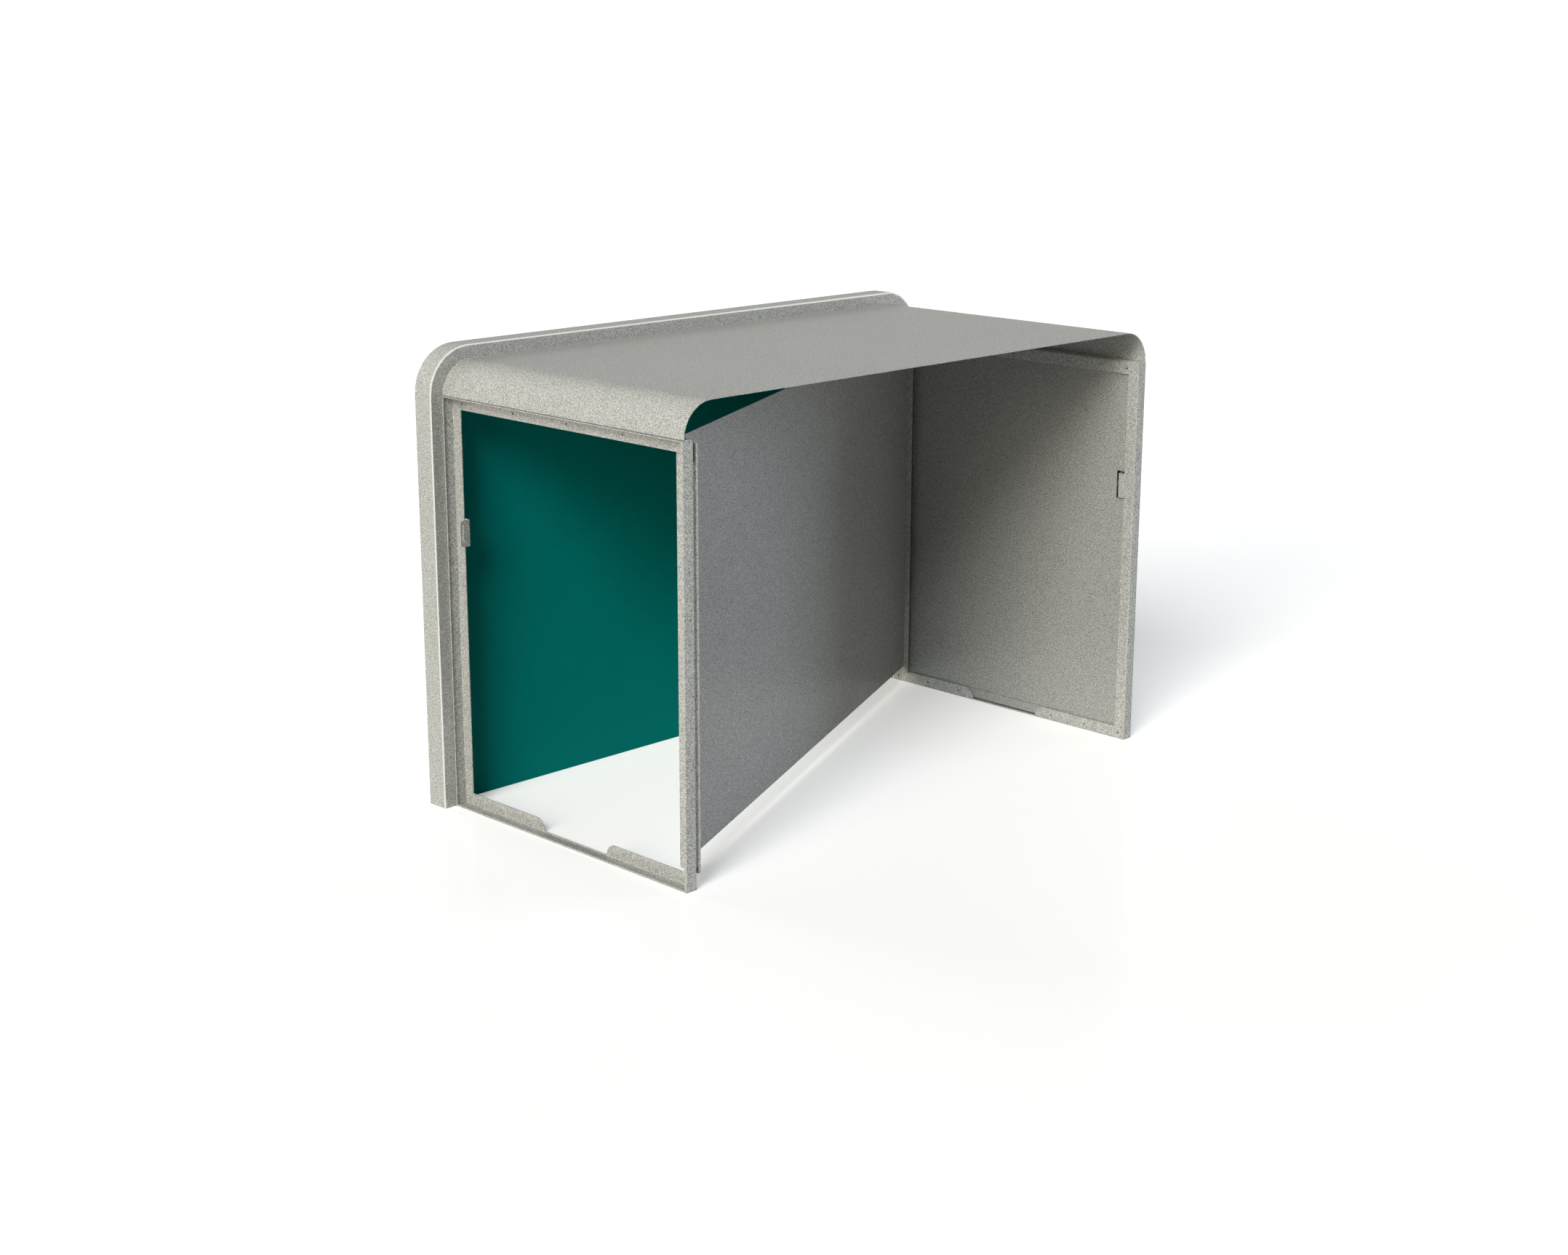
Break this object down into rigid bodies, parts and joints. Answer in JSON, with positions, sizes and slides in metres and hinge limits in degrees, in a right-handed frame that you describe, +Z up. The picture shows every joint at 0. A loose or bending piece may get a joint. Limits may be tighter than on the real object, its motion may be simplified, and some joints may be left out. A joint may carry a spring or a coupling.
{
  "type": "bicycle locker",
  "caption": "Galvanised bicycle locker bay with a rounded roof, diagonal partition, sills with wheel gaps, a side arch with teal infill and a hinged door with a turn-handle lock.",
  "frame": {"origin": "on the floor under the middle of the bounding box", "axes": "+X along the locker towards the end with the door, +Y towards the side hoop with the infill, +Z up"},
  "size_m": [2.08, 1.097, 1.386],
  "materials": {
    "galvanised_steel": "matt hot-dip galvanised, fine mottled grain",
    "teal_panel": "teal powder coat, satin",
    "plated_steel": "zinc plated, satin",
    "cast_zinc": "satin chrome on zinc casting"
  },
  "bodies": {
    "locker": {"roof_sheet": "galvanised_steel", "side_hoop": "galvanised_steel", "infill_panel": "teal_panel", "infill_stop_strip": "galvanised_steel", "partition_sheet": "galvanised_steel", "left_hinge_jamb": "galvanised_steel", "left_lock_jamb": "galvanised_steel", "left_sill": "galvanised_steel", "left_head": "galvanised_steel", "left_keeper": "galvanised_steel", "left_end_plate": "galvanised_steel", "left_spacer_bar": "galvanised_steel", "right_hinge_jamb": "galvanised_steel", "right_lock_jamb": "galvanised_steel", "right_sill": "galvanised_steel", "right_head": "galvanised_steel", "right_keeper": "galvanised_steel", "right_end_plate": "galvanised_steel", "right_spacer_bar": "galvanised_steel", "lower_hinge_frame_leaf": "plated_steel", "lower_hinge_pin": "plated_steel", "upper_hinge_frame_leaf": "plated_steel", "upper_hinge_pin": "plated_steel"},
    "door": {"door_tray": "galvanised_steel", "door_inner_sheet": "galvanised_steel", "door_closing_plate": "galvanised_steel", "lower_hinge_door_leaf": "plated_steel", "upper_hinge_door_leaf": "plated_steel", "lock_rose": "plated_steel", "lock_housing": "plated_steel"},
    "latch": {"lock_spindle": "plated_steel", "lock_handle": "cast_zinc", "lock_core": "plated_steel", "lock_cam": "plated_steel", "lock_cam_nut": "plated_steel"}
  },
  "joints": [
    {"name": "door_hinge", "type": "hinge", "parent": "locker", "child": "door", "pos_m": [1.0035, 0.46675, 0.626], "axis": [0, 0, 1], "range_deg": [0, 90]},
    {"name": "handle_turn", "type": "hinge", "parent": "door", "child": "latch", "pos_m": [1, -0.4595, 0.846], "axis": [-1, 0, 0], "range_deg": [0, 90]}
  ]
}
